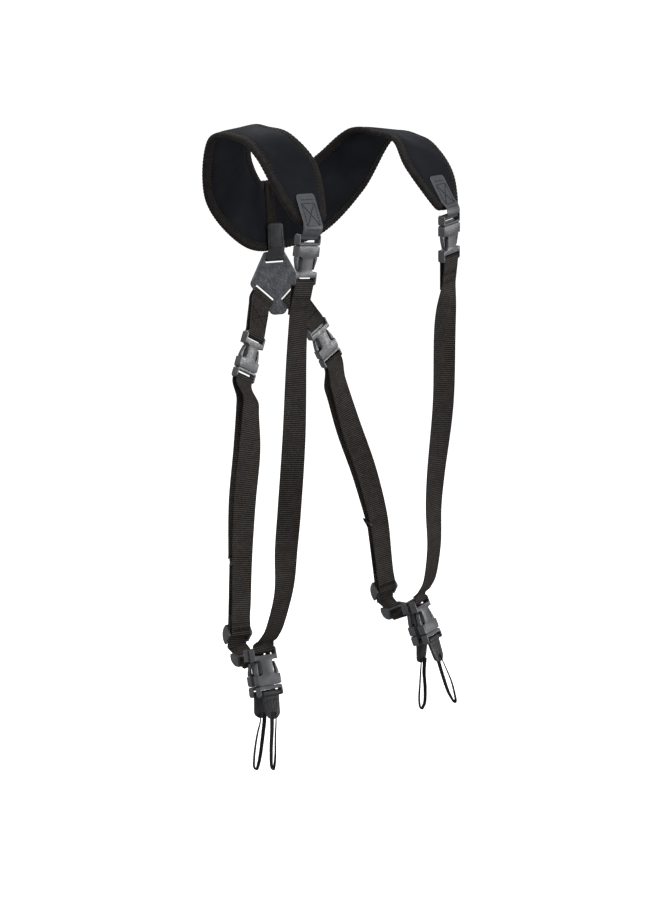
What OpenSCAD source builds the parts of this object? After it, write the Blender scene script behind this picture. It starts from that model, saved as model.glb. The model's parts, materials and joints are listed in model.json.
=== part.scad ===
// Double shoulder harness for carrying a wind instrument.
// Two padded shoulder arches meet in a seam at the middle of the back. Each side has a
// webbing strap that hangs from the pad's front tab, turns under two quick-release
// connectors at hip height and climbs to a leather back plate.
// The wearer faces -Y and +X is the wearer's left. The origin lies midway between the
// two pads, at the height of the shoulders.

/* [Webbing] */
// Width of the strap webbing
web_w = 25; // [23:0.5:25]
// Thickness of the strap webbing
web_t = 1.6; // [1.2:0.1:1.8]
// Gap left between webbing and the bars and layers it touches
web_gap = 0.35; // [0.3:0.05:0.5]

/* [Shoulder pads] */
// Thickness of the foam in the middle of a pad
pad_t = 7; // [5:0.5:8]
// Thickness of a pad at its bound edge
pad_edge_t = 4; // [3:0.5:5]
// Width of the binding folded over the edge
binding_w = 9; // [7:0.5:10]
// Thickness over the folded binding
binding_t = 6.4; // [5:0.2:7]
// Height by which the right pad's neck edge stands over the mean, and the left one's under it
inner_skew = 8; // [0:1:12]
// The same for the pads' shoulder edges
outer_skew = 10.5; // [0:0.5:12]

/* [Buckles] */
// Width of a side-release buckle
buckle_w = 29; // [29:0.5:31]
// Thickness of a side-release buckle
buckle_t = 8.5; // [8.5:0.5:10]
// Distance between the strap bars of a closed buckle
bar_gap = 47; // [47:0.5:48]
// Radius of the strap bars
bar_r = 1.7; // [1.5:0.1:1.8]
// Width of the slot that the webbing passes through
slot_w = 26; // [25.8:0.1:26]

/* [Leather] */
// Width of the front tabs
front_tab_w = 24; // [20:0.5:24]
// Width of the tab between pads and back plate
back_tab_w = 20; // [18:0.5:20]
// Width of the tabs that hold the cord loops
loop_tab_w = 20; // [16:0.5:21]
// Thickness of the leather tabs
tab_t = 1.4; // [1.2:0.1:1.5]
// Thickness of the back plate
plate_t = 4; // [3:0.5:4]

/* [Cord loops] */
// Width of the flat cord
cord_w = 4.5; // [3:0.5:5]
// Thickness of the flat cord
cord_t = 1.2; // [1:0.1:1.6]

/* [Hidden] */
SIDES = ["right", "left"];
POSITIONS = ["front", "back", "lower_front", "lower_back"];
PIECES = ["socket", "plug", "catch_a", "catch_b"];

WEBBING = "#2b2624";
NEOPRENE = "#22262c";
PLASTIC = "#4c4f55";
LEATHER = "#54575d";
CORD = "#1d1c1c";

fine = 48;

// Edges of the left pad, from the front tip over the shoulder to the seam at the back.
pad_outer_edge = [
    [105, -76, -80.5], [117, -74, -78.5], [127, -69, -72], [138, -53, -42], [140, -34, -19],
    [140, -8, -4], [140, 38, -7], [119, 66, -70], [64, 77, -118], [0.3, 92, -134]
];
pad_inner_edge = [
    [101, -77, -80.5], [91, -78, -78.5], [82, -76, -72], [67, -48, -29], [76, -20, -1],
    [78, 10, 4], [70, 43, 3], [51, 70, -26], [23, 87, -53], [0.3, 101, -57]
];
pad_last = len(pad_outer_edge) - 1;
station_step = 0.24;
tip_step = 1.75;
foam_gap = 0.7;
foam_steps = [29, 28];

// Strap route of the left side: x, y, z and the turn of the webbing's width about Z.
front_run = [
    [114, -65, -215], [115.5, -62.5, -300], [114.5, -54, -380], [115.5, -50, -424],
    [118, -49, -468], [122, -40, -508], [123, -31, -525]
];
front_yaw_left = [-30, -28, -12, -2, 5, 9, 10];
front_yaw_right = [10, 30, 44, 30, 8, 4, 8];
back_run = [
    [67.5, 65, -290], [79, 54, -341], [95.3, 44, -395], [107, 33.8, -450]
];
back_yaw_left = [-12, -24, -24, -16];
back_yaw_right = [14, 26, 26, 16];
adjuster_yaw = [7, -6];

// Inner layer of the back run: how far it lies in front of the run and to one side of it.
layer_front = [4.6, 3.6, 3, 2.6];
layer_aside = [6, 5.5, 5, 3];

// Places of the buckles' socket bars and their turns, on the left side.
front_bar = [111.5, -72, -136];
front_turn = [-3.5, 174, 0];
front_splay = [3, 6];
front_tab_top = [2.5, 2.8];
front_tab_low = [1.6, 2];
front_tab_out = [2.2, 3];
back_bar = [47, 70.5, -221.5];
back_turn = [-5.7, -27, 0];
lower_yaw = 11;
lower_front_bar = [123.5, -20.5, -542];
lower_front_turn = [-23, -3, lower_yaw];
lower_back_bar = [121.7, -9.3, -545.5];
lower_back_turn = [-19, -3, lower_yaw];

// Adjusters and stop sliders on the left side.
adjuster_pos = [116, 27.5, -536];
adjuster_rise = [-10.5, 7, 98];
adjuster_l = 26;
stop_pos = [118, 12, -559.5];
stop_rise = [-0.05, 0.8, 0.6];
stop_yaw = 2;
stop_l = 21;
// End bars behind the webbing and middle bar in front of it.
end_bar_y = 3;
middle_bar_y = -4.6;
ladder_bar_r = 1.4;
ladder_rail_w = 3;
rail_front = 0.5;

// Back plate, placed by the middle of its top slot.
plate_pos = [0, 87, -144.5];
plate_turn = [-6, 0, -20];
plate_slot = [15.5, -35.5];
plate_tip = 1.5;
plate_slot_slope = 42;
plate_loop_slope = 34;
plate_slot_l = 27;
plate_slot_h = 4.4;

// Socket and plug, measured from the socket's bar along the buckle.
slot_end = 5.7;
window_top = 10.5;
window_bottom = 27;
mouth = 38;
plug_face = mouth + 0.5;
plug_cross = 2.3;
lower_plug_cross = 3.9;
neck_w = 14;
cavity_w = 25.6;
cavity_t = 5;
prong_t = 4.2;
rail_over = 3;

// Swing of the loop tabs about the plugs' bars.
loop_tab_turn = [[-20, -3, lower_yaw], [4, -3, lower_yaw]];
loop_tab_l = 25;
loop_tab_taper = 0.84;

// Cord loops of the left side, from one end in the tab round to the other.
front_loop_route = [
    [129, -46, -604], [130, -48, -613], [134, -51, -630], [138, -55, -647], [142, -58, -657],
    [145, -59, -662], [147, -59, -660], [147, -58, -654], [144, -55, -637], [139, -51, -621],
    [136, -48, -611], [134, -46, -603]
];
back_loop_route = [
    [125, -25, -612], [125, -24, -624], [126, -22, -643], [127, -20, -660], [129, -19, -671],
    [132, -19, -677], [135, -19, -675], [137, -20, -668], [136, -21, -651], [133, -22, -634],
    [131, -24, -622], [131, -25, -612]
];

// ---- vectors, turns and curves ----
function unit(v) = v / norm(v);
function turn_x(a, p) = [p[0], p[1] * cos(a) - p[2] * sin(a), p[1] * sin(a) + p[2] * cos(a)];
function turn_y(a, p) = [p[0] * cos(a) + p[2] * sin(a), p[1], -p[0] * sin(a) + p[2] * cos(a)];
function turn_z(a, p) = [p[0] * cos(a) - p[1] * sin(a), p[0] * sin(a) + p[1] * cos(a), p[2]];
function turned(r, p) = turn_z(r[2], turn_y(r[1], turn_x(r[0], p)));
function placed(pos, r, p) = pos + turned(r, p);
function side_index(side) = side == "right" ? 0 : 1;

// Point on a smooth curve through the list P, at the whole and part step u.
function curve_at(P, u) =
    let (i = min(floor(u), len(P) - 2), t = u - i,
        b = P[i], c = P[i + 1],
        a = i > 0 ? P[i - 1] : 2 * b - c,
        d = i < len(P) - 2 ? P[i + 2] : 2 * c - b)
    0.5 * (2 * b + (c - a) * t + (2 * a - 5 * b + 4 * c - d) * t * t
        + (3 * b - a - 3 * c + d) * t * t * t);
function curve(P, n) = [for (k = [0 : n * (len(P) - 1)]) curve_at(P, k / n)];
function xyz(p) = [p[0], p[1], p[2]];
function across(yaw) = [cos(yaw), sin(yaw), 0];
function tangent(C, i, closed = false) =
    let (m = len(C))
    closed ? unit(C[(i + 1) % m] - C[(i + m - 1) % m])
        : unit(C[min(i + 1, m - 1)] - C[max(i - 1, 0)]);

// Rings of a band: outline points [u, v] lie u across its width and v through it. At the
// first and last few points the band may lie aslant, with its width just as W has it.
function band_rings(C, W, outline, closed, slant_first, slant_last) =
    [for (i = [0 : len(C) - 1])
        let (t = tangent(C, i, closed), n = unit(cross(t, W[i])),
            w = i < slant_first || i >= len(C) - slant_last ? W[i] : cross(n, t))
        [for (p = outline) C[i] + w * p[0] + n * p[1]]];
function box_outline(w, t) = [[-w / 2, -t / 2], [w / 2, -t / 2], [w / 2, t / 2], [-w / 2, t / 2]];
function oval_outline(w, t, n) =
    [for (k = [0 : n - 1]) [w / 2 * cos(360 * k / n), t / 2 * sin(360 * k / n)]];

// Solid swept through rings of equal length.
module sweep(list, closed = false, flip = false) {
    rings = flip ? [for (k = [len(list) - 1 : -1 : 0]) list[k]] : list;
    n = len(rings[0]);
    m = len(rings);
    walls = [for (i = [0 : m - (closed ? 1 : 2)], j = [0 : n - 1])
        let (k = (i + 1) % m, a = i * n + j, b = i * n + (j + 1) % n,
            c = k * n + j, d = k * n + (j + 1) % n)
        each [[a, c, d], [a, d, b]]];
    caps = closed ? [] : [[for (j = [0 : n - 1]) j], [for (j = [n - 1 : -1 : 0]) (m - 1) * n + j]];
    polyhedron([for (r = rings, p = r) p], concat(walls, caps), convexity = 8);
}
module band(C, W, outline, closed = false, slant_first = 0, slant_last = 0) {
    sweep(band_rings(C, W, outline, closed, slant_first, slant_last), closed);
}
module on_side(side) {
    if (side == "left") children();
    else mirror([1, 0, 0]) children();
}
module place(pos, r) {
    translate(pos) rotate(r) children();
}
module upright_plate(t) {
    rotate([90, 0, 0]) linear_extrude(height = t, center = true) children();
}
module rounded(w, h, r) {
    square([w - 2 * r, h], center = true);
    square([w, h - 2 * r], center = true);
    for (x = [-1, 1], y = [-1, 1])
        translate([x * (w / 2 - r), y * (h / 2 - r)]) circle(r = r, $fn = fine);
}

// ---- shoulder pads ----
function arch(side, i, skew) = (side == "right" ? 1 : -1) * skew * pow(sin(180 * i / pad_last), 1.5);
function pad_edge(edge, side, skew) = [for (i = [0 : pad_last]) edge[i] + [0, 0, arch(side, i, skew)]];
// Mirror image of the last curve step, so that both pads meet square at the seam.
function to_seam(E) = concat(E, [[-E[pad_last - 1][0], E[pad_last - 1][1], E[pad_last - 1][2]]]);
function pad_mid(side, u, s) =
    let (a = curve_at(to_seam(pad_edge(pad_inner_edge, side, inner_skew)), u),
        b = curve_at(to_seam(pad_edge(pad_outer_edge, side, outer_skew)), u))
    (a + b) / 2 + (b - a) / 2 * s;
// The blunt tip faces as the pad does just above it.
function pad_normal(side, u, s) =
    let (v = max(u, tip_step))
    unit(cross(pad_mid(side, v, 1) - pad_mid(side, v, -1),
        pad_mid(side, v + 0.02, s) - pad_mid(side, v - 0.02, s)));
function pad_point(side, u, s, off) = pad_mid(side, u, s) + off * pad_normal(side, u, s);
function pad_width(side, u) = norm(pad_mid(side, u, 1) - pad_mid(side, u, -1));
function pad_across(side, u) = unit(pad_mid(side, u, 1) - pad_mid(side, u, -1));

// Foam inside the binding: five points across each face, thinner towards the edges.
function pad_ring(side, u) =
    let (reach = 1 - 2 * (binding_w + foam_gap) / pad_width(side, u),
        cross_steps = [-1, -0.6, 0, 0.6, 1])
    concat(
        [for (k = cross_steps) pad_point(side, u, k * reach, foam_half(k))],
        [for (k = [4 : -1 : 0]) pad_point(side, u, cross_steps[k] * reach, -foam_half(cross_steps[k]))]);
function foam_half(s) = pad_edge_t / 2 + (pad_t - pad_edge_t) / 2 * (1 - s * s);
function pad_stations(side) =
    [for (k = [foam_steps[side_index(side)] : -1 : 0]) 8.97 - station_step * k];

module shoulder_pad(side) {
    color(NEOPRENE) on_side(side) sweep([for (u = pad_stations(side)) pad_ring(side, u)]);
}

// Binding round the pad's edge, from the seam round the front tip and back to the seam.
function edge_centre(side, u, way) =
    pad_mid(side, u, way * (1 - binding_w / pad_width(side, u)));
module pad_binding(side) {
    runs = [for (k = [0 : 32]) 8.97 - station_step * k];
    back_again = [for (k = [len(runs) - 1 : -1 : 0]) runs[k]];
    tip = [for (s = [0.55, 0, -0.55]) pad_mid(side, 0.45 + 0.1 * abs(s), s * 0.9)];
    C = concat([for (u = runs) edge_centre(side, u, 1)], tip,
        [for (u = back_again) edge_centre(side, u, -1)]);
    N = concat([for (u = runs) pad_normal(side, u, 1)],
        [for (k = [0 : 2]) pad_normal(side, 0.6, 0)],
        [for (u = back_again) pad_normal(side, u, -1)]);
    W = [for (i = [0 : len(C) - 1]) cross(tangent(C, i), N[i])];
    color(WEBBING) on_side(side) band(C, W, oval_outline(binding_w - 0.1, binding_t, 8));
}

// Tape over the seam: one strip on each face, laid over both pads' surfaces.
function seam_u(s, x) = 9 - x / (43 + 20 * s);
module back_seam() {
    color(WEBBING) for (way = [-1, 1]) {
        near = way * (pad_t / 2 + 0.3);
        far = near + way * 1.2;
        sweep([for (s = [-0.92 : 0.23 : 0.93])
            concat(
                [for (x = [7, 4, 1]) pad_point("left", seam_u(s, x), s, near)],
                [for (x = [1, 4, 7]) mirrored(pad_point("right", seam_u(s, x), s, near))],
                [for (x = [7, 4, 1]) mirrored(pad_point("right", seam_u(s, x), s, far))],
                [for (x = [1, 4, 7]) pad_point("left", seam_u(s, x), s, far)])], flip = way > 0);
    }
}
function mirrored(p) = [-p[0], p[1], p[2]];

// ---- leather ----
module front_tab(side) {
    i = side_index(side);
    lift = pad_t / 2 + tab_t / 2 + 0.3;
    rot = front_rot(i);
    plug_bar = front_plug_bar(i);
    face = turned(rot, [0, -1, 0]);
    up = unit(plug_bar - front_bar);
    wrap = bar_r + web_gap + tab_t / 2;
    level = turned(rot, [-1, 0, 0]);
    on_pad = [for (u = [front_tab_top[i] : -0.17 : front_tab_low[i]]) u];
    bends = round_bar(plug_bar, face, up, wrap);
    over_tip = bends[0] + up * 3.5 + face * front_tab_out[i];
    tilted = level - face * 0.1;
    last = pad_point(side, on_pad[len(on_pad) - 1], 0, lift);
    C = concat([for (u = on_pad) pad_point(side, u, 0, lift)],
        [(last + over_tip) / 2 + face * front_tab_out[i], over_tip], bends, [plug_bar - face * wrap + up * 2]);
    W = concat([for (u = on_pad) pad_across(side, u) + level * 2 * (front_tab_top[i] - u)],
        [tilted, tilted + level * 1.5], [for (k = [0 : len(bends)]) level]);
    color(LEATHER) on_side(side) band(C, W, box_outline(front_tab_w, tab_t));
}
function front_plug_bar(i) = placed(front_bar, front_rot(i), [0, 0, -bar_gap]);
function front_rot(i) = front_turn + [0, 0, front_splay[i]];
// Half turn round a bar: from its face side, past the side it hangs to, to its back.
function round_bar(c, face, hang, r) =
    [for (a = [0 : 22.5 : 180]) c + r * (face * cos(a) - hang * sin(a))];

module back_tab() {
    color(LEATHER) band(
        [[1, 86.4, -103], [0.8, 85.8, -112], [0.5, 84.9, -122], [0.2, 83.8, -131],
            placed(plate_pos, plate_turn, [0, -plate_t / 2 - 1.2, 4]),
            placed(plate_pos, plate_turn, [0, -plate_t / 2 - 0.6, 1.2]),
            placed(plate_pos, plate_turn, [0, 0, 0]),
            placed(plate_pos, plate_turn, [0, plate_t / 2 + 0.6, 1.2]),
            placed(plate_pos, plate_turn, [0, plate_t / 2 + 1.2, 4]),
            placed(plate_pos, plate_turn, [0, plate_t / 2 + 1.2, 9])],
        [for (yaw = [-10, -11, -14, -17, -20, -20, -20, -20, -20, -20]) across(yaw)],
        box_outline(back_tab_w, tab_t));
}

module plate_outline() {
    hull() {
        for (x = [-1, 1]) {
            translate([x * 10, 7]) circle(r = 3, $fn = fine);
            translate([x * 23.5, -24]) circle(r = 6, $fn = fine);
            translate([plate_tip + x * 4, -54]) circle(r = 6, $fn = fine);
        }
    }
}
module back_plate() {
    color(LEATHER) place(plate_pos, plate_turn) upright_plate(plate_t) difference() {
        plate_outline();
        square([back_tab_w + 2, plate_slot_h], center = true);
        for (x = [-1, 1])
            translate([plate_tip + x * plate_slot[0], plate_slot[1]]) rotate(x * plate_slot_slope)
                square([plate_slot_l, plate_slot_h], center = true);
    }
}

// Three steps between two places.
function eased_way(a, b) = [for (t = [0.25, 0.5, 0.75]) a + (b - a) * t];

// Closed loop of webbing through a slanted plate slot and round the socket's bar. Its width
// follows the slot at the top and the bar at the bottom.
module back_loop(side) {
    i = side_index(side);
    way = side == "left" ? 1 : -1;
    half = plate_t / 2 + web_gap + web_t / 2;
    out = [way * sin(plate_loop_slope), 0, -cos(plate_loop_slope)];
    slot_mid = [plate_tip + way * plate_slot[0], 0, plate_slot[1]];
    across_slot = 1.04 * turned(plate_turn, [cos(plate_slot_slope), 0, way * sin(plate_slot_slope)]);
    bar = [way * back_bar[0], back_bar[1], back_bar[2]];
    rot = [back_turn[0], way * back_turn[1], 0];
    across_bar = turned(rot, [1, 0, 0]);
    wrap = bar_r + web_gap + web_t / 2;
    top = [for (v = [[-1.15, 11], [-1.05, 3], [-0.75, 1.2], [0, 0.7], [0.75, 1.2], [1.05, 3], [1.15, 11]])
        placed(plate_pos, plate_turn, slot_mid + out * v[1] + [0, v[0] * half, 0])];
    bottom = [for (v = [[1, 5], [1, 0], [0.7, -0.7], [0, -1], [-0.7, -0.7], [-1, 0], [-1, 5]])
        placed(bar, rot, [0, v[0] * wrap, v[1] * (v[1] < 0 ? wrap : 1)])];
    C = concat(top, eased_way(top[6], bottom[0]), bottom, eased_way(bottom[6], top[0]));
    W = concat([for (p = top) across_slot], eased_way(across_slot, across_bar),
        [for (p = bottom) across_bar], eased_way(across_bar, across_slot));
    color(WEBBING) band(C, W, box_outline(web_w, web_t), closed = true, slant_first = len(C));
}

// ---- webbing ----
wrap_r = bar_r + web_gap + web_t / 2;
function lower_w() = turned([0, lower_front_turn[1], lower_yaw], [1, 0, 0]);
function with_yaw(run, yaws) = [for (k = [0 : len(run) - 1]) [run[k][0], run[k][1], run[k][2], yaws[k]]];

module strap(side) {
    i = side_index(side);
    fr = front_rot(i);
    // The sewn hem behind the run, over the bar and down the front.
    hem = [for (v = [[2.9, 34], [2.9, 20], [2.9, 8]]) placed(front_bar, fr, [0, v[0], v[1]])];
    over = [for (a = [0 : 30 : 180]) placed(front_bar, fr, [0, wrap_r * cos(a), -wrap_r * sin(a)])];
    joined = [for (v = [[-2.2, 8], [-0.8, 20]]) placed(front_bar, fr, [0, v[0], v[1]])];
    tail = concat(hem, over, joined);
    front = curve(concat([concat(placed(front_bar, fr, [0, 0.6, 31]), [front_splay[i]])],
        with_yaw(front_run, i == 0 ? front_yaw_right : front_yaw_left),
        [concat(lower_front_bar + turn_z(lower_yaw, [0, -wrap_r, 9]), [lower_yaw])]), 3);
    turn_under = concat([for (a = [180 : 22.5 : 270]) under(lower_front_bar, a)],
        [for (a = [250 : 20 : 310]) under(lower_back_bar, a)]);
    rise = curve([concat(under(lower_back_bar, 300) + [0, 3.4, -7], [lower_yaw - 3]),
        stop_line(13) - [0, 2.2, -2.6, 0], stop_line(9), stop_line(-9), adjuster_line(i, -14)], 3);
    back = curve(concat([adjuster_line(i, -11), adjuster_line(i, 78)],
        [for (k = [3 : -1 : 0]) concat(back_run[k], [back_yaw(i, k)])]), 3);
    plug_bar = placed(back_bar, back_turn, [0, 0, -bar_gap]);
    top = [for (z = [-4, -0.6]) placed(plug_bar, back_turn, [0, wrap_r, z])];
    C = concat(tail, [for (p = front) xyz(p)], turn_under, [for (p = rise) xyz(p)],
        [for (p = back) xyz(p)], top);
    W = concat([for (p = tail) turned(fr, [-1, 0, 0])], [for (p = front) across(p[3])],
        [for (p = turn_under) lower_w()], [for (p = rise) across(p[3])],
        [for (p = back) across(p[3])], [for (p = top) turned(back_turn, [1, 0, 0])]);
    color(WEBBING) on_side(side) band(C, W, box_outline(web_w, web_t), slant_last = len(top));
}
function under(bar, a) = bar + turn_z(lower_yaw, wrap_r * [0, cos(a), sin(a)]);
function stop_line(d) = concat(stop_pos - unit(stop_rise) * d, [stop_yaw]);
function adjuster_line(i, d) = concat(adjuster_pos + unit(adjuster_rise) * d, [adjuster_yaw[i]]);
function adjuster_turn(i) = tilt_to(unit(adjuster_rise), adjuster_yaw[i]);
function back_yaw(i, k) = (i == 0 ? back_yaw_right : back_yaw_left)[k];
// Turn that lays the local Z axis along d, with the local X axis at the given yaw.
function tilt_to(d, yaw) = let (q = turn_z(-yaw, d)) [-asin(q[1]), atan2(q[0], q[2]), yaw];

// Inner layer: over the back plug's bar, down in front of the run and round the adjuster's middle bar.
module strap_return(side) {
    i = side_index(side);
    way = side == "right" ? -1 : 1;
    plug_bar = placed(back_bar, back_turn, [0, 0, -bar_gap]);
    hook_r = ladder_bar_r + web_gap + web_t / 2;
    turn = adjuster_turn(i);
    over = concat([for (a = [0 : 30 : 180])
        placed(plug_bar, back_turn, [0, wrap_r * cos(a), wrap_r * sin(a)])],
        [placed(plug_bar, back_turn, [0, -wrap_r, -4])]);
    run = curve([for (k = [0 : 3])
        concat(back_run[k] + turn_z(back_yaw(i, k), [way * layer_aside[k], -layer_front[k], 0]),
            [back_yaw(i, k)])], 3);
    down = [for (v = [[-4.6, 34], [-6, 20], [-7, 6]]) placed(adjuster_pos, turn, [0, v[0], v[1]])];
    hook = [for (a = [180 : 30 : 360]) placed(adjuster_pos, turn,
        [0, middle_bar_y + hook_r * cos(a), hook_r * sin(a)])];
    sewn = [for (v = [[-2.2, 6], [-2.4, 22]]) placed(adjuster_pos, turn, [0, v[0], v[1]])];
    C = concat(over, [for (p = run) xyz(p)], down, hook, sewn);
    W = concat([for (p = over) turned(back_turn, [1, 0, 0])], [for (p = run) across(p[3])],
        [for (k = [1 : len(down) + len(hook) + len(sewn)]) turned(turn, [1, 0, 0])]);
    color(WEBBING) on_side(side) band(C, W, box_outline(web_w, web_t), slant_first = len(over));
}

// ---- side-release buckles ----
// Modelled with the socket's bar at the origin, the plug downwards and the face towards -Y.
module buckle_block(top, bottom, w) {
    translate([0, (top + bottom) / 2]) rounded(w, top - bottom, 2.4);
}
// Keeps what lies within the buckle's half thickness of the bar above it, and all below it.
module rounded_about_bar(top, bottom) {
    intersection() {
        children();
        union() {
            rotate([0, 90, 0]) cylinder(r = buckle_t / 2, h = 2 * buckle_w, center = true, $fn = fine);
            translate([-buckle_w, -buckle_t, bottom - 1]) cube([2 * buckle_w, 2 * buckle_t, 1 - bottom]);
        }
    }
}
module socket() {
    window_w = (buckle_w - neck_w) / 2 + 2;
    color(PLASTIC) {
        difference() {
            rounded_about_bar(rail_over, -mouth) upright_plate(buckle_t) difference() {
                buckle_block(rail_over, -mouth, buckle_w);
                translate([0, (rail_over + 3 - slot_end) / 2])
                    square([slot_w, slot_end + rail_over + 3], center = true);
                for (x = [-1, 1])
                    translate([x * (neck_w / 2 + window_w / 2), -(window_top + window_bottom) / 2])
                        rounded(window_w, window_bottom - window_top, 3.5);
            }
            translate([-cavity_w / 2, -cavity_t / 2, -mouth - 1])
                cube([cavity_w, cavity_t, mouth - window_bottom + 3]);
            translate([-4, -cavity_t / 2, -mouth - 1]) cube([8, cavity_t, mouth - window_top + 1]);
        }
        rotate([0, 90, 0]) cylinder(r = bar_r, h = slot_w + 1, center = true, $fn = fine);
    }
}
module plug(cross) {
    slot_top = -plug_face - cross;
    color(PLASTIC) {
        translate([0, 0, -bar_gap]) mirror([0, 0, 1]) rounded_about_bar(rail_over, plug_face - bar_gap)
            translate([0, 0, -bar_gap]) mirror([0, 0, 1]) upright_plate(buckle_t) difference() {
                buckle_block(-plug_face, -bar_gap - rail_over, buckle_w);
                translate([-slot_w / 2, slot_top - 20]) square([slot_w, 20]);
            }
        translate([-3, -prong_t / 2, -plug_face - 0.5]) cube([6, prong_t, plug_face - window_top - 2]);
        translate([0, 0, -bar_gap]) rotate([0, 90, 0])
            cylinder(r = bar_r, h = slot_w + 1, center = true, $fn = fine);
    }
}
module catch_arm() {
    root = -mouth - 0.2;
    color(PLASTIC) upright_plate(prong_t) polygon([
        [9.6, root], [12, root], [12, -window_bottom - 1.4], [12.6, -window_bottom + 0.5],
        [14.4, -window_bottom + 0.5], [14.6, -24.6], [13.8, -21], [12.8, -17.5], [11.9, -14.6],
        [11, -12.8], [10.3, -13], [10.4, -16.2], [10.9, -19], [11.1, -22], [10.6, -27], [9.6, -31]
    ]);
}
module buckle_piece(piece, pos, r, plug_cross) {
    place(pos, r) {
        if (piece == "socket") socket();
        if (piece == "plug") plug(plug_cross);
        if (piece == "catch_a") catch_arm();
        if (piece == "catch_b") mirror([1, 0, 0]) catch_arm();
    }
}
function bar_of(position) =
    position == "front" ? front_bar : position == "back" ? back_bar
    : position == "lower_front" ? lower_front_bar : lower_back_bar;
function turn_of(position, i) =
    position == "front" ? front_rot(i) : position == "back" ? back_turn
    : position == "lower_front" ? lower_front_turn : lower_back_turn;

// ---- sliders on the webbing ----
// A ladder slider: two bowed side rails, an end bar behind the webbing at each end and
// a middle bar in front of it.
module ladder(l) {
    high = end_bar_y + ladder_bar_r + 1.2;
    bow = (l * l / 4 + 81) / 18;
    module bar(y, z) {
        translate([0, y, z]) rotate([0, 90, 0])
            cylinder(r = ladder_bar_r, h = slot_w + 1, center = true, $fn = fine);
    }
    color(PLASTIC) {
        for (x = [-1, 1])
            translate([x * (slot_w + ladder_rail_w) / 2, 0, 0]) rotate([0, 0, 90])
                upright_plate(ladder_rail_w) hull() {
                    translate([middle_bar_y, 0]) circle(r = ladder_bar_r + 0.7, $fn = fine);
                    intersection() {
                        translate([rail_front, -l / 2]) square([high - rail_front, l]);
                        translate([high - bow, 0]) circle(r = bow, $fn = 2 * fine);
                    }
                }
        for (z = [-1, 1]) bar(end_bar_y, z * (l / 2 - 4));
        bar(middle_bar_y, 0);
    }
}
module adjuster(side) {
    on_side(side) place(adjuster_pos, adjuster_turn(side_index(side))) ladder(adjuster_l);
}
module stop_slider(side) {
    on_side(side) place(stop_pos, tilt_to(unit(stop_rise), stop_yaw)) ladder(stop_l);
}

// ---- loop tabs and cord loops ----
function lower_plug_bar(k) = k == 0
    ? placed(lower_front_bar, lower_front_turn, [0, 0, -bar_gap])
    : placed(lower_back_bar, lower_back_turn, [0, 0, -bar_gap]);
module loop_tab_outline() {
    w = loop_tab_w / 2;
    r = w * loop_tab_taper;
    polygon(concat([[-w, 0], [w, 0]],
        [for (a = [0 : 15 : 180]) [r * cos(a), r - loop_tab_l - r * sin(a)]]));
}
module loop_tab(side, k) {
    wrap = bar_r + web_gap + tab_t;
    bar = lower_plug_bar(k);
    on_side(side) place(bar, loop_tab_turn[k]) color(LEATHER) {
        difference() {
            rotate([0, 90, 0]) cylinder(r = wrap, h = loop_tab_w, center = true, $fn = fine);
            rotate([0, 90, 0]) cylinder(r = bar_r + web_gap, h = loop_tab_w + 2, center = true, $fn = fine);
        }
        translate([0, 0, -wrap + tab_t / 2]) upright_plate(2 * tab_t + 0.6) loop_tab_outline();
    }
}
module cord_loop(side, k) {
    route = k == 0 ? front_loop_route : back_loop_route;
    C = curve(route, 3);
    // A quarter turn along the loop shows one strand flat and the other on edge.
    W = [for (n = [0 : len(C) - 1])
        let (yaw = 90 + (k == 0 ? 45 : -45) * (1 - 2 * n / (len(C) - 1))) across(yaw)];
    color(CORD) on_side(side) band(C, W, oval_outline(cord_w, cord_t, 8));
}

// ---- all sub-parts ----
back_seam();
back_tab();
back_plate();
for (side = SIDES) {
    shoulder_pad(side);
    pad_binding(side);
    front_tab(side);
    back_loop(side);
    strap(side);
    strap_return(side);
    adjuster(side);
    stop_slider(side);
    for (position = POSITIONS, piece = PIECES)
        on_side(side) buckle_piece(piece, bar_of(position), turn_of(position, side_index(side)),
                position[0] == "l" ? lower_plug_cross : plug_cross);
    for (k = [0, 1]) {
        loop_tab(side, k);
        cord_loop(side, k);
    }
}
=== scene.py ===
"""Looks for the double shoulder harness: neoprene pads, bound edges, ribbed webbing, leather tabs,
moulded buckles and cord loops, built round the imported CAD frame.

Route points and sizes are in millimetres, as in the part's source, and every mesh is made in metres.
The left side is built in place and the right one is its mirror image in X.
"""

import math
import random

import bmesh
import bpy
import numpy as np
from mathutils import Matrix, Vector
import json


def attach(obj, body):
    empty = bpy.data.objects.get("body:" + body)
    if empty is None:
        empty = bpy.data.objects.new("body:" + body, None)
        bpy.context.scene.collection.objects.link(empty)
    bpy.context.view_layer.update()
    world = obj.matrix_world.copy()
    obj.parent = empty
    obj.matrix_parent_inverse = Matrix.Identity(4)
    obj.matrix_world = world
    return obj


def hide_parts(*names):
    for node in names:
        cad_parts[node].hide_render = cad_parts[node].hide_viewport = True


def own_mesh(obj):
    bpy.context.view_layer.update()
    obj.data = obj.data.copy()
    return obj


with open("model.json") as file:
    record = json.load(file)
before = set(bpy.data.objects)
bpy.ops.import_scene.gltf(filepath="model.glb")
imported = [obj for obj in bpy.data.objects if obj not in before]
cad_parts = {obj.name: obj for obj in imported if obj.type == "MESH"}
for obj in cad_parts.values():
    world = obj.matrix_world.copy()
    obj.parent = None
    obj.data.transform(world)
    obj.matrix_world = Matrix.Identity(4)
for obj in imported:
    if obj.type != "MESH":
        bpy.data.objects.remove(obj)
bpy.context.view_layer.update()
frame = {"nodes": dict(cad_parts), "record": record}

MM = 0.001
SIDES = ("right", "left")
BODY_OF = {n: b for b, nodes in frame["record"]["behaviour"]["bodies"].items() for n in nodes}


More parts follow.
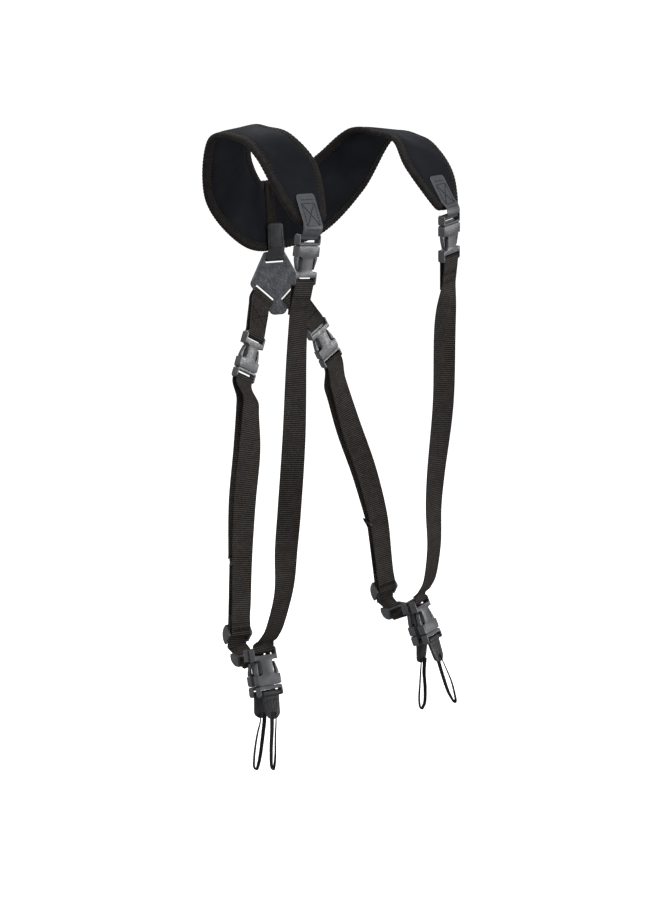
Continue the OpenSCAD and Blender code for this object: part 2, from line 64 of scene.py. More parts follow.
# ---- camera ----
def make_camera():
    azimuth, elevation, distance = math.radians(-45), math.radians(14), 2.5
    target = Vector((0, 0, -0.345))
    back = Vector((math.sin(azimuth) * math.cos(elevation),
                   -math.cos(azimuth) * math.cos(elevation), math.sin(elevation)))
    camera = bpy.data.objects.new("camera", bpy.data.cameras.new("camera"))
    bpy.context.scene.collection.objects.link(camera)
    camera.data.lens = 90.9
    camera.data.sensor_width = 36
    camera.location = target + back * distance
    camera.rotation_mode = "QUATERNION"
    camera.rotation_quaternion = (-back).to_track_quat("-Z", "Y")
    bpy.context.scene.camera = camera


make_camera()


# ---- vectors, turns and curves ----
def vec(*p):
    return np.array(p, float)


def unit(v):
    v = np.asarray(v, float)
    return v / np.maximum(np.linalg.norm(v, axis=-1, keepdims=True), 1e-12)


def rot3(turn):
    a, b, c = (math.radians(v) for v in turn)
    rx = np.array([[1, 0, 0], [0, math.cos(a), -math.sin(a)], [0, math.sin(a), math.cos(a)]])
    ry = np.array([[math.cos(b), 0, math.sin(b)], [0, 1, 0], [-math.sin(b), 0, math.cos(b)]])
    rz = np.array([[math.cos(c), -math.sin(c), 0], [math.sin(c), math.cos(c), 0], [0, 0, 1]])
    return rz @ ry @ rx


def turned(turn, p):
    return rot3(turn) @ np.array(p, float)


def placed(pos, turn, p):
    return np.array(pos, float) + turned(turn, p)


def curve_at(points, u):
    """Point on a smooth curve through the points, at the whole and part step u."""
    P = np.asarray(points, float)
    i = min(int(math.floor(u)), len(P) - 2)
    t = u - i
    b, c = P[i], P[i + 1]
    a = P[i - 1] if i > 0 else 2 * b - c
    d = P[i + 2] if i < len(P) - 2 else 2 * c - b
    return 0.5 * (2 * b + (c - a) * t + (2 * a - 5 * b + 4 * c - d) * t * t
                  + (3 * b - a - 3 * c + d) * t ** 3)


def curve(points, n):
    return [curve_at(points, k / n) for k in range(n * (len(points) - 1) + 1)]


def across(yaw):
    return vec(math.cos(math.radians(yaw)), math.sin(math.radians(yaw)), 0)


def resample(X, s, q):
    """Smooth interpolation of rows X, given at lengths s, at the lengths q."""
    slope = np.gradient(X, s, axis=0)
    i = np.clip(np.searchsorted(s, q) - 1, 0, len(s) - 2)
    h = (s[i + 1] - s[i])[:, None]
    t = ((q - s[i]) / h[:, 0])[:, None]
    return ((2 * t ** 3 - 3 * t ** 2 + 1) * X[i] + (t ** 3 - 2 * t ** 2 + t) * h * slope[i]
            + (3 * t ** 2 - 2 * t ** 3) * X[i + 1] + (t ** 3 - t ** 2) * h * slope[i + 1])


# ---- meshes ----
def new_mesh(name, verts, faces, material, body, uvs=None, smooth=True, mirror=False):
    """Mesh piece from millimetre points, riding on a body."""
    V = np.array(verts, float) * MM
    if mirror:
        V[:, 0] *= -1
        faces = [tuple(reversed(f)) for f in faces]
    mesh = bpy.data.meshes.new(name)
    mesh.from_pydata(V.tolist(), [], faces)
    mesh.polygons.foreach_set("use_smooth", [smooth] * len(mesh.polygons))
    if uvs is not None:
        layer = mesh.uv_layers.new(name="Cloth")
        index = np.empty(len(mesh.loops), dtype=np.int32)
        mesh.loops.foreach_get("vertex_index", index)
        layer.data.foreach_set("uv", (np.asarray(uvs, float) * MM)[index].ravel())
    mesh.materials.append(material)
    mesh.update()
    piece = bpy.data.objects.new(name, mesh)
    bpy.context.scene.collection.objects.link(piece)
    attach(piece, body)
    return piece


def grid_faces(rows, columns, closed_rows=False, closed_columns=True):
    faces = []
    for i in range(rows if closed_rows else rows - 1):
        a, b = i * columns, ((i + 1) % rows) * columns
        for j in range(columns if closed_columns else columns - 1):
            k = (j + 1) % columns
            faces.append((a + j, b + j, b + k, a + k))
    return faces


def squared(C, W):
    """Width directions turned square to the line through C."""
    t = unit(np.gradient(np.array(C, float), axis=0))
    n = unit(np.cross(t, np.array(W, float)))
    return list(np.cross(n, t))


class Strip:
    """A band along a centreline, with its width direction W at each point.

    A sheared band keeps W as it is; any other has it turned square to the line.
    """

    def __init__(self, C, W, step, closed=False, sheared=False):
        C, W = np.array(C, float), np.array(W, float)
        self.closed = closed
        if closed:
            C, W = np.vstack([C[-2:], C, C[:3]]), np.vstack([W[-2:], W, W[:3]])
        s = np.concatenate([[0], np.cumsum(np.linalg.norm(np.diff(C, axis=0), axis=1))])
        first, last = (s[2], s[-3]) if closed else (0, s[-1])
        count = max(int(round((last - first) / step)), 4)
        q = np.linspace(first, last, count + 1)
        if closed:
            q = q[:-1]
        P = resample(C, s, q)
        W = resample(W, s, q)
        if closed:
            t = unit(np.roll(P, -1, 0) - np.roll(P, 1, 0))
        else:
            t = unit(np.gradient(P, axis=0))
        n = unit(np.cross(t, W))
        self.P, self.t, self.n, self.w = P, t, n, W if sheared else unit(np.cross(n, t))
        self.s = q - first
        self.length = last - first

    def mesh(self, name, U, V, material, body, slot, mirror=False):
        """Solid with outline (U, V) at each ring, across and through the band."""
        rings, k = len(self.P), U.shape[1]
        pts = (self.P[:, None] + self.w[:, None] * U[..., None] + self.n[:, None] * V[..., None])
        faces = grid_faces(rings, k, closed_rows=self.closed)
        if not self.closed:
            faces += [tuple(range(k)), tuple((rings - 1) * k + j for j in reversed(range(k)))]
        uv = np.stack([U, np.repeat(self.s[:, None], k, 1)], -1)
        return new_mesh(name, pts.reshape(-1, 3), faces, material, body,
                        uv.reshape(-1, 2), mirror=mirror)

    def at(self, s, u, off):
        """Point at length s, u across and off through the band, and the band's normal there."""
        def lerp(A):
            return np.array([np.interp(s, self.s, A[:, k]) for k in range(3)])
        n, w = unit(lerp(self.n)), lerp(self.w)
        return lerp(self.P) + w * u + n * off, n * math.copysign(1, off)

    def cut(self, low, high):
        """The stretch of the strip between two lengths, as a strip of its own."""
        part = object.__new__(Strip)
        keep = (self.s >= low) & (self.s <= high)
        part.closed = False
        part.P, part.t, part.n, part.w = self.P[keep], self.t[keep], self.n[keep], self.w[keep]
        part.s = self.s[keep]
        part.length = high - low
        return part


# ---- stitches ----
def stitch_row(strip, start, end, off, pitch=3.2, gap=0.9):
    """Stitches on a strip's face from (length, across) to (length, across)."""
    a, b = np.array(start, float), np.array(end, float)
    points = [strip.at(*(a + (b - a) * k / 8), off)[0] for k in range(9)]
    run = sum(np.linalg.norm(points[k + 1] - points[k]) for k in range(8))
    count = max(int(run / pitch), 1)
    share = gap / pitch / 2
    out = []
    for k in range(count):
        p, n = strip.at(*(a + (b - a) * (k + share) / count), off)
        q, _ = strip.at(*(a + (b - a) * (k + 1 - share) / count), off)
        out.append((p, q, n))
    return out


def threads(name, stitches, body, radius=0.32, mirror=False):
    """One mesh of all the given stitches: each is a thread that arches a little off the face."""
    verts, faces = [], []
    sides = 6
    # Share of the length, share of the radius, and lift off the face.
    profile = ((0, 0.35, -0.15), (0.18, 0.9, 0.1), (0.5, 1, 0.18), (0.82, 0.9, 0.1),
               (1, 0.35, -0.15))
    for p, q, n in stitches:
        t = unit(q - p)
        w = unit(np.cross(t, n))
        first = len(verts)
        for along, thick, lift in profile:
            centre = p + (q - p) * along + n * lift * 1.6 * radius
            for k in range(sides):
                a = 2 * math.pi * k / sides
                verts.append(centre + radius * thick * (w * math.cos(a) + n * math.sin(a)))
        rings = len(profile)
        faces += [tuple(first + i for i in f) for f in grid_faces(rings, sides)]
        faces += [tuple(first + k for k in range(sides)),
                  tuple(first + (rings - 1) * sides + k for k in reversed(range(sides)))]
    return new_mesh(name, verts, faces, M["thread"], body, mirror=mirror)


# ---- materials ----
RIB = 2.25


def per(pitch):
    """Scale of a wave texture that repeats at this pitch in millimetres."""
    return 2 * math.pi / 20 / (pitch * MM)


class Nodes:
    """Short way to wire a procedural material."""

    def __init__(self, name, colour, roughness, **settings):
        self.material = bpy.data.materials.new(name)
        self.material.use_nodes = True
        self.tree = self.material.node_tree
        self.shader = next(n for n in self.tree.nodes if n.type == "BSDF_PRINCIPLED")
        self.shader.inputs["Base Color"].default_value = (*colour, 1)
        self.shader.inputs["Roughness"].default_value = roughness
        for key, value in settings.items():
            self.shader.inputs[key.replace("_", " ")].default_value = value

    def add(self, kind, links=(), **values):
        node = self.tree.nodes.new("ShaderNode" + kind)
        for key, value in values.items():
            if key in node.inputs:
                node.inputs[key].default_value = value
            else:
                setattr(node, key, value)
        for socket, source in dict(links).items():
            self.tree.links.new(source, node.inputs[socket])
        return node

    def place(self):
        return self.add("TexCoord").outputs["Object"]

    def uv(self):
        return self.add("UVMap", uv_map="Cloth").outputs["UV"]

    def noise(self, where, scale, detail=3.0):
        return self.add("TexNoise", {"Vector": where}, Scale=scale, Detail=detail).outputs["Fac"]

    def wave(self, where, scale, direction="Y", distortion=0.0):
        return self.add("TexWave", {"Vector": where}, Scale=scale, Distortion=distortion,
                        bands_direction=direction).outputs["Fac"]

    def cells(self, where, scale, feature="F1"):
        return self.add("TexVoronoi", {"Vector": where}, Scale=scale, feature=feature).outputs["Distance"]

    def math(self, operation, a, b):
        node = self.add("Math", operation=operation)
        for k, value in enumerate((a, b)):
            if isinstance(value, (int, float)):
                node.inputs[k].default_value = value
            else:
                self.tree.links.new(value, node.inputs[k])
        return node.outputs[0]

    def ramp(self, factor, stops):
        node = self.add("ValToRGB", {"Fac": factor})
        ramp = node.color_ramp
        while len(ramp.elements) < len(stops):
            ramp.elements.new(0.5)
        for element, (position, colour) in zip(ramp.elements, stops):
            element.position = position
            element.color = (*colour, 1) if hasattr(colour, "__len__") else (colour,) * 3 + (1,)
        return node.outputs["Color"]

    def colour(self, source):
        self.tree.links.new(source, self.shader.inputs["Base Color"])

    def roughness(self, source):
        self.tree.links.new(source, self.shader.inputs["Roughness"])

    def bump(self, height, distance, strength=1.0, under=None):
        links = {"Height": height}
        if under is not None:
            links["Normal"] = under
        node = self.add("Bump", links, Distance=distance, Strength=strength)
        self.tree.links.new(node.outputs["Normal"], self.shader.inputs["Normal"])
        return node.outputs["Normal"]


def neoprene_material():
    m = Nodes("neoprene", (0.0085, 0.009, 0.012), 0.85, Specular_IOR_Level=0.08, Sheen_Weight=0.025,
              Sheen_Roughness=0.5, Sheen_Tint=(0.7, 0.8, 1.0, 1.0))
    where = m.place()
    wear = m.noise(where, 26, 4)
    m.colour(m.ramp(wear, [(0.3, (0.0040, 0.0044, 0.0062)), (0.72, (0.0082, 0.0087, 0.0112))]))
    m.roughness(m.ramp(wear, [(0.3, 0.92), (0.7, 0.72)]))
    soft = m.bump(m.noise(where, 60, 3), 0.0007, 0.5)
    m.bump(m.cells(where, 1250), 0.00022, 0.6, soft)
    return m.material


def binding_material():
    m = Nodes("binding", (0.012, 0.0095, 0.008), 0.88, Specular_IOR_Level=0.12, Sheen_Weight=0.03,
              Sheen_Roughness=0.5)
    where, uv = m.place(), m.uv()
    m.colour(m.ramp(m.noise(where, 180, 3),
                    [(0.3, (0.0075, 0.0063, 0.0056)), (0.7, (0.0165, 0.0138, 0.0122))]))
    knit = m.math("ADD", m.wave(uv, per(0.9), "Y"), m.math("MULTIPLY", m.wave(uv, per(0.9), "X"), 0.6))
    m.bump(knit, 0.0002, 0.8)
    return m.material


def webbing_material():
    m = Nodes("webbing", (0.014, 0.0115, 0.010), 0.7, Specular_IOR_Level=0.25)
    where, uv = m.place(), m.uv()
    # Wave at the rib pitch: painted highlight along the rib crests and painted shade in the grooves between
    # them.
    rib_light_and_shade = m.wave(uv, per(RIB), "Y")
    dust = m.noise(where, 150, 4)
    rib_shading_and_dust = m.math("ADD", m.math("MULTIPLY", rib_light_and_shade, 0.8), m.math("MULTIPLY", dust, 0.35))
    # Ramp from the painted highlight on the rib crests to near-black painted shade in the grooves, mixed with
    # random dust tone.
    m.colour(m.ramp(rib_shading_and_dust, [(0.12, (0.066, 0.053, 0.044)), (0.45, (0.0085, 0.0066, 0.0056)),
                            (0.9, (0.0007, 0.0006, 0.0005))]))
    m.roughness(m.ramp(m.noise(where, 60, 2), [(0.3, 0.58), (0.7, 0.78)]))
    yarn = m.math("MULTIPLY", m.wave(uv, per(1.0), "X"), m.wave(uv, per(0.56), "DIAGONAL"))
    m.bump(yarn, 0.00025, 0.9)
    return m.material


def leather_material(name, dark, light, grain, depth, rough, shine=0.35):
    m = Nodes(name, dark, rough, Specular_IOR_Level=shine)
    where = m.place()
    tone = m.noise(where, 120, 5)
    m.colour(m.ramp(tone, [(0.3, dark), (0.72, light)]))
    m.roughness(m.ramp(m.noise(where, 300, 2), [(0.3, rough - 0.08), (0.7, rough + 0.1)]))
    pores = m.bump(m.cells(where, grain, "SMOOTH_F1"), depth, 0.8)
    m.bump(m.noise(where, grain * 2.2, 4), depth * 0.5, 0.6, pores)
    return m.material


def plastic_material():
    m = Nodes("moulded_plastic", (0.05, 0.051, 0.056), 0.42, Specular_IOR_Level=0.5)
    where = m.place()
    m.colour(m.ramp(m.noise(where, 90, 4), [(0.3, (0.040, 0.041, 0.045)), (0.75, (0.066, 0.067, 0.073))]))
    m.roughness(m.ramp(m.noise(where, 240, 3), [(0.3, 0.30), (0.7, 0.46)]))
    flow = m.bump(m.noise(where, 90, 2), 0.0003, 0.35)
    m.bump(m.noise(where, 2600, 2), 0.00006, 0.5, flow)
    return m.material


def thread_material():
    m = Nodes("thread", (0.004, 0.0038, 0.0038), 0.5, Specular_IOR_Level=0.2)
    m.colour(m.ramp(m.noise(m.place(), 900, 2),
                    [(0.3, (0.0025, 0.0025, 0.0025)), (0.7, (0.008, 0.0075, 0.0075))]))
    m.bump(m.noise(m.place(), 3000, 2), 0.0001, 0.6)
    return m.material


def cord_material():
    m = Nodes("cord", (0.006, 0.0055, 0.0055), 0.65, Specular_IOR_Level=0.25)
    uv = m.uv()
    braid = m.math("MULTIPLY", m.wave(uv, per(1.1), "DIAGONAL"), m.wave(uv, per(0.8), "X"))
    m.colour(m.ramp(m.noise(m.place(), 500, 3),
                    [(0.3, (0.0035, 0.0033, 0.0033)), (0.7, (0.011, 0.0105, 0.010))]))
    m.bump(braid, 0.0003, 0.9)
    return m.material


M = {
    "neoprene": neoprene_material(),
    "binding": binding_material(),
    "webbing": webbing_material(),
    "leather": leather_material("smooth_leather", (0.042, 0.044, 0.050), (0.062, 0.064, 0.072),
                                900, 0.00012, 0.45, 0.45),
    "plate_leather": leather_material("grained_leather", (0.030, 0.032, 0.037), (0.078, 0.081, 0.091),
                                      420, 0.0008, 0.38, 0.6),
    "loop_leather": leather_material("dark_leather", (0.013, 0.0135, 0.015), (0.030, 0.031, 0.034),
                                     800, 0.00025, 0.5, 0.3),
    "plastic": plastic_material(),
    "thread": thread_material(),
    "cord": cord_material(),
}

# ---- sizes and routes, as in the part's source ----
WEB_W, WEB_T, WEB_GAP = 25, 1.6, 0.35
PAD_T, PAD_EDGE_T = 7, 4
BINDING_W, BINDING_T = 9, 6.4
SKEW = {"inner": 8, "outer": 10.5}
BAR_GAP, BAR_R = 47, 1.7
FRONT_TAB_W, BACK_TAB_W, TAB_T = 24, 20, 1.4
PLATE_T = 4
CORD_W, CORD_T = 4.5, 1.2
WRAP_R = BAR_R + WEB_GAP + WEB_T / 2

PAD_EDGES = {
    "outer": [[105, -76, -80.5], [117, -74, -78.5], [127, -69, -72], [138, -53, -42],
              [140, -34, -19], [140, -8, -4], [140, 38, -7], [119, 66, -70],
              [64, 77, -118], [0.3, 92, -134]],
    "inner": [[101, -77, -80.5], [91, -78, -78.5], [82, -76, -72], [67, -48, -29],
              [76, -20, -1], [78, 10, 4], [70, 43, 3], [51, 70, -26],
              [23, 87, -53], [0.3, 101, -57]],
}
PAD_LAST = 9
TIP_STEP = 1.75
FRONT_RUN = [[114, -65, -215], [115.5, -62.5, -300], [114.5, -54, -380], [115.5, -50, -424],
             [118, -49, -468], [122, -40, -508], [123, -31, -525]]
FRONT_YAW = {"left": [-30, -28, -12, -2, 5, 9, 10], "right": [10, 30, 44, 30, 8, 4, 8]}
BACK_RUN = [[67.5, 65, -290], [79, 54, -341], [95.3, 44, -395], [107, 33.8, -450]]
BACK_YAW = {"left": [-12, -24, -24, -16], "right": [14, 26, 26, 16]}
LAYER_FRONT, LAYER_ASIDE = [4.6, 3.6, 3, 2.6], [6, 5.5, 5, 3]
FRONT_BAR = vec(111.5, -72, -136)
FRONT_TURN = {"left": [-3.5, 174, 6], "right": [-3.5, 174, 3]}
FRONT_TAB_SPAN = {"left": (2.8, 2.0), "right": (2.5, 1.6)}
FRONT_TAB_OUT = {"left": 3.0, "right": 2.2}
BACK_BAR, BACK_TURN = vec(47, 70.5, -221.5), [-5.7, -27, 0]
LOWER_YAW = 11
LOWER_FRONT_BAR, LOWER_BACK_BAR = vec(123.5, -20.5, -542), vec(121.7, -9.3, -545.5)
LOWER_TURN = {"front": [-23, -3, LOWER_YAW], "back": [-19, -3, LOWER_YAW]}
LOOP_TAB_TURN = {"front": [-20, -3, LOWER_YAW], "back": [4, -3, LOWER_YAW]}
ADJUSTER_YAW = {"left": -6, "right": 7}
ADJUSTER_POS, ADJUSTER_RISE = vec(116, 27.5, -536), vec(-10.5, 7, 98)
STOP_POS, STOP_RISE, STOP_YAW = vec(118, 12, -559.5), vec(-0.05, 0.8, 0.6), 2
MIDDLE_BAR_Y, LADDER_BAR_R = -4.6, 1.4
# Heights above the adjuster that bound the straight stretch of the return.
STRAIGHT_SPAN = (84, 12)
PLATE_POS, PLATE_TURN = vec(0, 87, -144.5), [-6, 0, -20]
PLATE_SLOT, PLATE_TIP, PLATE_SLOPE, LOOP_SLOPE = (15.5, -35.5), 1.5, 42, 34

# Cord loops of the left side, in metres.
CORD_ROUTES = {
    "front": [[0.129, -0.046, -0.604], [0.130, -0.048, -0.613], [0.134, -0.051, -0.630],
              [0.138, -0.055, -0.647], [0.142, -0.058, -0.657], [0.145, -0.059, -0.662],
              [0.147, -0.059, -0.660], [0.147, -0.058, -0.654], [0.144, -0.055, -0.637],
              [0.139, -0.051, -0.621], [0.136, -0.048, -0.611], [0.134, -0.046, -0.603]],
    "back": [[0.125, -0.025, -0.612], [0.125, -0.024, -0.624], [0.126, -0.022, -0.643],
             [0.127, -0.020, -0.660], [0.129, -0.019, -0.671], [0.132, -0.019, -0.677],
             [0.135, -0.019, -0.675], [0.137, -0.020, -0.668], [0.136, -0.021, -0.651],
             [0.133, -0.022, -0.634], [0.131, -0.024, -0.622], [0.131, -0.025, -0.612]],
}


# ---- cord loops ----
def cord_loop(side, place):
    route = np.array(CORD_ROUTES[place])
    C = np.array(curve(route / MM, 6))
    # A quarter turn along the loop shows one strand flat and the other on edge.
    turn = 38 if place == "front" else -38
    strip = Strip(C, [across(90 + turn * t) for t in np.linspace(1, -1, len(C))], 0.8)
    k = np.arange(12) * 2 * math.pi / 12
    weave = 1 + 0.05 * np.sin(strip.s[:, None] * 3.3 + 3 * k[None])
    piece = strip.mesh(f"cord_{place}_{side}", CORD_W / 2 * np.cos(k)[None] * weave,
                       CORD_T / 2 * np.sin(k)[None] * weave, M["cord"],
                       f"{place}_loop_{side}", "cord", mirror=side == "right")
    path = strip.P * MM
    if side == "right":
        path[:, 0] *= -1
    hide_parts(f"{place}_cord_loop_{side}")


for side in SIDES:
    for place in ("front", "back"):
        cord_loop(side, place)


# ---- shoulder pads ----
def pad_edge(edge, side):
    sign = 1 if side == "right" else -1
    rise = [sign * SKEW[edge] * math.sin(math.pi * i / PAD_LAST) ** 1.5 for i in range(PAD_LAST)] + [0]
    P = np.array(PAD_EDGES[edge], float)
    P[:, 2] += rise
    beyond = P[PAD_LAST - 1] * (-1, 1, 1)
    return np.vstack([P, beyond])


EDGES = {(side, edge): pad_edge(edge, side) for side in SIDES for edge in ("inner", "outer")}


def pad_mid(side, u, s):
    a, b = curve_at(EDGES[side, "inner"], u), curve_at(EDGES[side, "outer"], u)
    return (a + b) / 2 + (b - a) / 2 * s


def pad_normal(side, u, s):
    u = max(u, TIP_STEP)
    return unit(np.cross(pad_mid(side, u, 1) - pad_mid(side, u, -1),
                         pad_mid(side, u + 0.02, s) - pad_mid(side, u - 0.02, s)))


def pad_point(side, u, s, off):
    return pad_mid(side, u, s) + off * pad_normal(side, u, s)


def pad_width(side, u):
    return np.linalg.norm(pad_mid(side, u, 1) - pad_mid(side, u, -1))


def foam_height(from_edge):
    """Half the foam's thickness at a distance from the pad's edge, pinched under the binding."""
    t = np.clip((from_edge - BINDING_W + 0.5) / 8, 0, 1)
    return PAD_EDGE_T / 2 + 0.05 + (PAD_T / 2 - PAD_EDGE_T / 2) * (1 - (1 - t) ** 2.4)


def shoulder_pad(side):
    rng = random.Random(7 if side == "left" else 11)
    waves = [(rng.uniform(0.9, 2.6), rng.uniform(1, 3), rng.uniform(0, 6.3), rng.uniform(0.06, 0.2))
             for _ in range(7)]
    inset, columns = 3.0, 22
    rows = list(np.linspace(1.2 if side == "left" else 0.6, 8.985, 160))
    faces_up, faces_down = [], []
    for u in rows:
        width = pad_width(side, u)
        reach = max(1 - 2 * inset / width, 0.05)
        up, down = [], []
        for j in range(columns + 1):
            s = reach * math.sin(math.pi / 2 * (2 * j / columns - 1))
            h = foam_height((1 - abs(s)) * width / 2)
            fade = min(max(((1 - abs(s)) * width / 2 - BINDING_W) / 6, 0), 1)
            ripple = fade * sum(a * math.sin(f * u * 2.2 + g * s + p) for f, g, p, a in waves)
            up.append(pad_point(side, u, s, h + ripple))
            down.append(pad_point(side, u, s, -h + ripple * 0.6))
        faces_up.append(up)
        faces_down.append(down)
    rings = [np.array(up + down[::-1]) for up, down in zip(faces_up, faces_down)]
    n = len(rings[0])
    faces = grid_faces(len(rings), n)
    faces += [tuple(range(n)), tuple((len(rings) - 1) * n + j for j in reversed(range(n)))]
    piece = new_mesh(f"pad_{side}", np.vstack(rings), faces, M["neoprene"], "root",
                     mirror=side == "right")
    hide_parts(f"shoulder_pad_{side}")


def pad_outline(side):
    """Edge of the pad from the seam round the tip and back, with the normal at each point."""
    us = [8.97 - 0.06 * k for k in range(150)]
    us = [u for u in us if u > 0.03] + [0.0]
    outline = [(pad_mid(side, u, 1), pad_normal(side, u, 0.9)) for u in us]
    outline += [(pad_mid(side, u, -1), pad_normal(side, u, -0.9)) for u in reversed(us)]
    return [p for p, _ in outline], [n for _, n in outline]


def pad_binding(side):
    """Folded tape round the edge, drawn into small scallops by its zigzag stitching."""
    P, N = (np.array(a) for a in pad_outline(side))
    s = np.concatenate([[0], np.cumsum(np.linalg.norm(np.diff(P, axis=0), axis=1))])
    keep = np.concatenate([[True], np.diff(s) > 0.2])
    P, N, s = P[keep], N[keep], s[keep]
    pitch = 4.2
    q = np.linspace(0, s[-1], int(s[-1] / (pitch / 4)) + 1)
    P, N = resample(P, s, q), unit(resample(N, s, q))
    # Softens the corners that the tip's tight turn leaves.
    for _ in range(6):
        P[1:-1] = (P[:-2] + 2 * P[1:-1] + P[2:]) / 4
        N[1:-1] = unit((N[:-2] + 2 * N[1:-1] + N[2:]) / 4)
    T = unit(np.gradient(P, axis=0))
    inward = unit(np.cross(T, N))
    scallop = np.cos(2 * math.pi * q / pitch)
    half = BINDING_T / 2
    profile = [(9.3, 2.0, 1), (9.2, 2.75, 1), (8.5, 3.0, 0.7), (7.2, 2.75, -1), (6.0, 3.05, 0.3),
               (4.0, 3.1, 0), (2.2, 2.8, 0), (0.9, 2.0, 0), (0.1, 0.8, 0)]
    profile += [(d, -h, w) for d, h, w in reversed(profile)]
    rings = []
    for d, h, w in profile:
        depth = d + (0.5 * scallop if d > 5 else 0.34 * scallop)
        height = math.copysign(1, h) * (abs(h) * half / 3.2 + 0.12 * w * scallop)
        rings.append(P + inward * depth[:, None] + N * height[:, None])
    pts = np.stack(rings, 1)
    k = len(profile)
    faces = grid_faces(len(q), k)
    faces += [tuple(range(k)), tuple((len(q) - 1) * k + j for j in reversed(range(k)))]
    uv = np.stack([np.repeat(np.array([[d for d, _, _ in profile]]), len(q), 0),
                   np.repeat(q[:, None], k, 1)], -1)
    faces = [tuple(reversed(f)) for f in faces]
    piece = new_mesh(f"binding_{side}", pts.reshape(-1, 3), faces, M["binding"], "root",
                     uv.reshape(-1, 2), mirror=side == "right")
    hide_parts(f"pad_binding_{side}")
    stitches = []
    for i in range(2, len(q) - 6, 4):
        for way in (-1, 1):
            low, high = i, i + 2
            a = P[low] + inward[low] * 6.6 + N[low] * way * 3.0
            b = P[high] + inward[high] * 10.4 + N[high] * way * 2.5
            c = P[low + 4] + inward[low + 4] * 6.6 + N[low + 4] * way * 3.0
            stitches += [(a, b, N[low] * way), (b, c, N[low] * way)]
    threads(f"binding_stitches_{side}", stitches, "root", 0.42, mirror=side == "right")


for side in SIDES:
    shoulder_pad(side)
    pad_binding(side)


def seam_u(s, x):
    return 9 - x / (43 + 20 * s)


def back_seam():
    verts, faces, stitches = [], [], []
    steps = np.linspace(-0.93, 0.93, 34)
    xs = (7, 5.5, 3, 0.6)
    for way in (-1, 1):
        near, far = way * (PAD_T / 2 - 0.2), way * (PAD_T / 2 + 0.75)
        rings = []
        for s in steps:
            left = [pad_point("left", seam_u(s, x), s, far) for x in xs]
            right = [pad_point("right", seam_u(s, x), s, far) * (-1, 1, 1) for x in xs[::-1]]
            low_left = pad_point("left", seam_u(s, 7.4), s, near)
            low_right = pad_point("right", seam_u(s, 7.4), s, near) * (-1, 1, 1)
            rings.append(np.array([low_left, *left, *right, low_right]))
        n = len(rings[0])
        first = len(verts)
        verts += [p for r in rings for p in r]
        made = grid_faces(len(rings), n)
        made += [tuple(range(n)), tuple((len(rings) - 1) * n + j for j in reversed(range(n)))]
        if way > 0:
            made = [tuple(reversed(f)) for f in made]
        faces += [tuple(first + i for i in f) for f in made]
        for column in (2, 7):
            line = [r[column] for r in rings]
            path = np.array(line)
            s = np.concatenate([[0], np.cumsum(np.linalg.norm(np.diff(path, axis=0), axis=1))])
            q = np.arange(1, s[-1] - 3, 3.3)
            A, B = resample(path, s, q), resample(path, s, q + 2.4)
            out = vec(0, way, 0)
            stitches += [(a + out * 0.1, b + out * 0.1, out) for a, b in zip(A, B)]
    uv = np.array([(p[0], p[2]) for p in verts])
    piece = new_mesh("seam_tape", verts, faces, M["binding"], "root", uv)
    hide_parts("back_seam")
    threads("seam_stitches", stitches, "root", 0.4)


back_seam()


# ---- leather tabs ----
def leather_outline(strip, width, thickness, round_start=0, round_end=0):
    """Outline rings of a flat leather band with eased edges and rounded ends."""
    base = np.array([(-1, 0.45), (-0.965, 0.9), (-0.93, 1), (0.93, 1), (0.965, 0.9), (1, 0.45),
                     (1, -0.45), (0.965, -0.9), (0.93, -1), (-0.93, -1), (-0.965, -0.9), (-1, -0.45)])
    half = np.full(len(strip.P), width / 2)
    for radius, distance in ((round_start, strip.s), (round_end, strip.length - strip.s)):
        if radius:
            t = np.clip(radius - distance, 0, radius)
            half = half - radius + np.sqrt(np.maximum(radius ** 2 - t ** 2, 0.04))
    return half[:, None] * base[None, :, 0], np.full((len(half), 1), thickness / 2) * base[None, :, 1]


def round_bar(centre, face, hang, r):
    return [centre + r * (face * math.cos(a) - hang * math.sin(a)) for a in np.radians(np.arange(0, 181, 15))]


def front_tab(side):
    lift = PAD_T / 2 + TAB_T / 2 + 0.3
    rot = FRONT_TURN[side]
    plug_bar = placed(FRONT_BAR, rot, [0, 0, -BAR_GAP])
    face, level = turned(rot, [0, -1, 0]), turned(rot, [-1, 0, 0])
    up = unit(plug_bar - FRONT_BAR)
    wrap = BAR_R + WEB_GAP + TAB_T / 2
    top, low = FRONT_TAB_SPAN[side]
    on_pad = list(np.arange(top, low - 0.001, -0.17))
    bends = round_bar(plug_bar, face, up, wrap)
    over_tip = bends[0] + up * 3.5 + face * FRONT_TAB_OUT[side]
    tilted = level - face * 0.1
    C = [pad_point(side, u, 0, lift) for u in on_pad]
    C += [(C[-1] + over_tip) / 2 + face * FRONT_TAB_OUT[side], over_tip, *bends]
    C.append(plug_bar - face * wrap + up * 2)
    W = [unit(pad_mid(side, u, 1) - pad_mid(side, u, -1)) + level * 2 * (top - u) for u in on_pad]
    W += [tilted, tilted + level * 1.5]
    W += [level] * (len(C) - len(W))
    strip = Strip(C, W, 0.45)
    U, V = leather_outline(strip, FRONT_TAB_W, TAB_T, round_start=3.5)
    piece = strip.mesh(f"front_tab_leather_{side}", U, V, M["leather"], "root", "leather",
                       mirror=side == "right")
    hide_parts(f"front_tab_{side}")
    h = TAB_T / 2 + 0.06
    rows = []
    for s in (6.6, 10.6, 34.5, 38.5):
        rows += stitch_row(strip, (s, -8.2), (s, 8.2), h, 2.5, 0.8)
    for u in (-8.2, 8.2):
        rows += stitch_row(strip, (10.6, u), (34.5, u), h, 2.8, 0.8)
    rows += stitch_row(strip, (12, -7.2), (33.5, 7.2), h, 2.8, 0.3)
    rows += stitch_row(strip, (12, 7.2), (33.5, -7.2), h, 2.8, 0.3)
    threads(f"front_tab_stitches_{side}", rows, "root", 0.42, mirror=side == "right")


